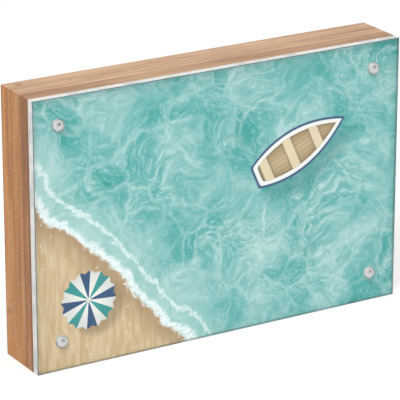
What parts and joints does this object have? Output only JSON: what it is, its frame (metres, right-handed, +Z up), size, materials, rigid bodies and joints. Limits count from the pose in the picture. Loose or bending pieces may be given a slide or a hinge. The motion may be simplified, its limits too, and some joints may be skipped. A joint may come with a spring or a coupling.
{
  "type": "picture frame",
  "caption": "Free-standing block picture frame of mitred bamboo rails, with a clear acrylic cover that magnets hold over a landscape print.",
  "frame": {"origin": "middle of the footprint, on the surface that the frame stands on", "axes": "+Z up, +X along the picture's width, the picture faces -Y"},
  "size_m": [0.15, 0.0234, 0.1],
  "materials": {
    "rail_bamboo": "sanded laminated bamboo with a thin satin lacquer",
    "board_bamboo": "sanded bamboo plywood",
    "spline_wood": "planed, glued in",
    "clear_acrylic": "clear cast sheet with polished faces and sawn, sanded edges",
    "nickel": "bright nickel plate",
    "photo_paper": "resin-coated photo paper with a semi-gloss printed face"
  },
  "bodies": {
    "block": {"top_rail": "rail_bamboo", "bottom_rail": "rail_bamboo", "left_rail": "rail_bamboo", "right_rail": "rail_bamboo", "mitre_spline_top_left": "spline_wood", "mitre_spline_top_right": "spline_wood", "mitre_spline_bottom_left": "spline_wood", "mitre_spline_bottom_right": "spline_wood", "backing_board": "board_bamboo", "back_panel": "board_bamboo", "frame_magnet_top_left": "nickel", "frame_magnet_top_right": "nickel", "frame_magnet_bottom_left": "nickel", "frame_magnet_bottom_right": "nickel"},
    "cover": {"acrylic_cover": "clear_acrylic", "cover_magnet_top_left": "nickel", "cover_magnet_top_right": "nickel", "cover_magnet_bottom_left": "nickel", "cover_magnet_bottom_right": "nickel"},
    "print": {"photo_print": "photo_paper"}
  },
  "joints": [
    {"name": "cover_pull", "type": "slide", "parent": "block", "child": "cover", "axis": [0, -1, 0], "range_m": [0, 0.05]},
    {"name": "print_lift", "type": "slide", "parent": "block", "child": "print", "axis": [0, 0, 1], "range_m": [0, 0.1]}
  ]
}
